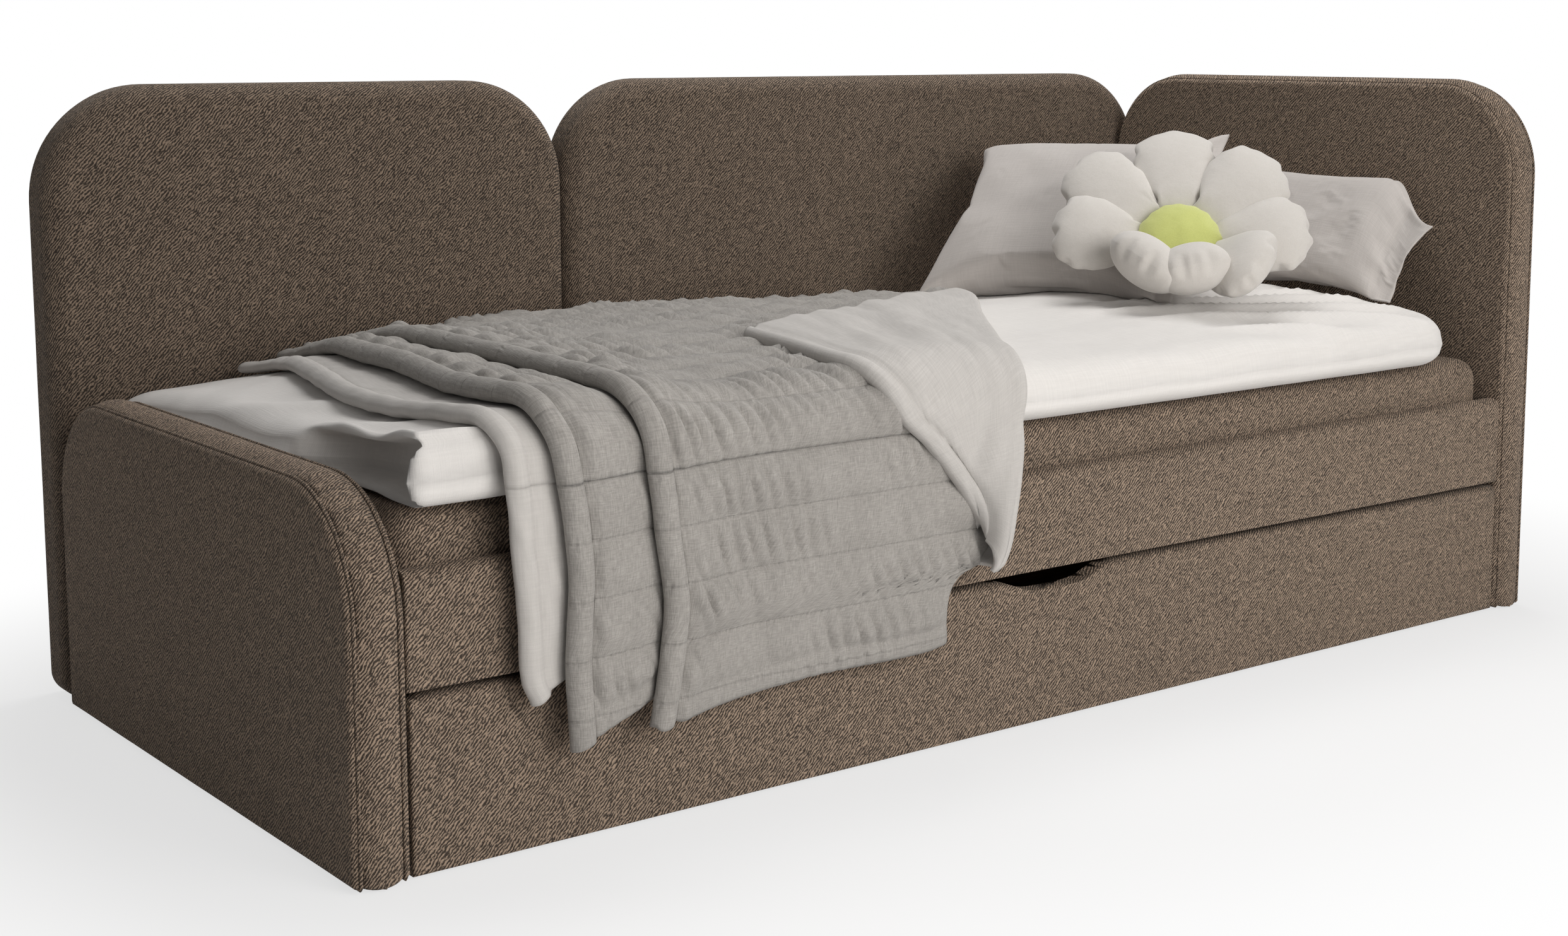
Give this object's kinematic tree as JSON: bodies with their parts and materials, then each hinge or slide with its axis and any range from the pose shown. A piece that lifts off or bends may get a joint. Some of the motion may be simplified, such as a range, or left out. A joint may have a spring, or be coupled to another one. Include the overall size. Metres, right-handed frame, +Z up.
{
  "type": "day bed",
  "caption": "Upholstered single day bed with a low foot panel, a high head panel, two back panels, a sprung slat base, a pull-out linen drawer on castors and a made-up bed.",
  "frame": {"origin": "on the floor, at the middle of the whole object's box", "axes": "+X runs along the bed towards the high head panel, -Y is the open front with the drawer, +Z is up"},
  "size_m": [2.146, 1.0555, 0.886],
  "materials": {
    "brown_fabric": "coarse diagonal weave, matte",
    "back_fabric": "coarse diagonal weave, matte",
    "mattress_fabric": "coarse diagonal weave, matte",
    "piping": "woven cord, matte",
    "chipboard": "sanded raw board",
    "bottom_panel": "smooth thin board",
    "birch": "sanded birch veneer",
    "zinc_steel": "bright zinc plate",
    "black_plastic": "moulded, fine grain",
    "wheel_rubber": "matte",
    "duvet_cotton": "soft plain weave",
    "pillow_cotton": "soft plain weave",
    "quilt_linen": "washed linen, quilted",
    "quilt_reverse": "washed linen",
    "petal_plush": "short soft plush",
    "lime_cotton": "short soft plush"
  },
  "bodies": {
    "frame": {"foot_board": "chipboard", "foot_cover": "brown_fabric", "foot_piping": "piping", "foot_glides": "black_plastic", "head_board": "chipboard", "head_cover": "brown_fabric", "head_piping": "piping", "head_glides": "black_plastic", "back_left_board": "chipboard", "back_left_cover": "back_fabric", "back_left_glides": "black_plastic", "back_right_board": "chipboard", "back_right_cover": "back_fabric", "back_right_glides": "black_plastic", "front_rail_board": "chipboard", "front_rail_cover": "brown_fabric", "rear_rail": "chipboard", "front_batten": "birch", "rear_batten": "birch", "slat_1": "birch", "slat_2": "birch", "slat_3": "birch", "slat_4": "birch", "slat_5": "birch", "slat_6": "birch", "slat_7": "birch", "slat_8": "birch", "slat_9": "birch", "slat_10": "birch", "slat_11": "birch", "slat_12": "birch", "slat_13": "birch", "front_slat_caps": "black_plastic", "rear_slat_caps": "black_plastic", "corner_brackets": "zinc_steel", "frame_bolts": "zinc_steel"},
    "drawer": {"drawer_front_board": "chipboard", "drawer_front_cover": "brown_fabric", "drawer_side_left": "chipboard", "drawer_side_right": "chipboard", "drawer_back": "chipboard", "drawer_divider": "chipboard", "drawer_bottom_left": "bottom_panel", "drawer_bottom_right": "bottom_panel", "drawer_screws": "zinc_steel", "castor_forks": "zinc_steel", "castor_axles": "zinc_steel"},
    "castor_wheel_1": {"castor_wheel_1": "wheel_rubber"},
    "castor_wheel_2": {"castor_wheel_2": "wheel_rubber"},
    "castor_wheel_3": {"castor_wheel_3": "wheel_rubber"},
    "castor_wheel_4": {"castor_wheel_4": "wheel_rubber"},
    "mattress": {"mattress": "mattress_fabric"},
    "bedding": {"duvet": "duvet_cotton", "quilt_top": "quilt_linen", "quilt_fall": "quilt_linen", "quilt_corner": "quilt_reverse", "pillow_left": "pillow_cotton", "pillow_right": "pillow_cotton", "daisy_petals": "petal_plush", "daisy_eye": "lime_cotton"}
  },
  "joints": [
    {"name": "drawer_slide", "type": "slide", "parent": "frame", "child": "drawer", "axis": [0, -1, 0], "range_m": [0, 0.6], "deforming": ["quilt_fall"]},
    {"name": "castor_roll_1", "type": "hinge", "parent": "drawer", "child": "castor_wheel_1", "pos_m": [-0.865, -0.36575, 0.022], "axis": [1, 0, 0], "range_deg": [0, 1600]},
    {"name": "castor_roll_2", "type": "hinge", "parent": "drawer", "child": "castor_wheel_2", "pos_m": [-0.865, 0.29425, 0.022], "axis": [1, 0, 0], "range_deg": [0, 1600]},
    {"name": "castor_roll_3", "type": "hinge", "parent": "drawer", "child": "castor_wheel_3", "pos_m": [0.865, -0.36575, 0.022], "axis": [1, 0, 0], "range_deg": [0, 1600]},
    {"name": "castor_roll_4", "type": "hinge", "parent": "drawer", "child": "castor_wheel_4", "pos_m": [0.865, 0.29425, 0.022], "axis": [1, 0, 0], "range_deg": [0, 1600]},
    {"name": "mattress_lift", "type": "slide", "parent": "frame", "child": "mattress", "axis": [0, 0, 1], "range_m": [0, 0.3]},
    {"name": "bedding_lift", "type": "slide", "parent": "mattress", "child": "bedding", "axis": [0, 0, 1], "range_m": [0, 0.35]}
  ],
  "couplings": [
    {"joint": "castor_roll_1", "follows": "drawer_slide", "rad_per_m": 45.455},
    {"joint": "castor_roll_2", "follows": "drawer_slide", "rad_per_m": 45.455},
    {"joint": "castor_roll_3", "follows": "drawer_slide", "rad_per_m": 45.455},
    {"joint": "castor_roll_4", "follows": "drawer_slide", "rad_per_m": 45.455}
  ]
}
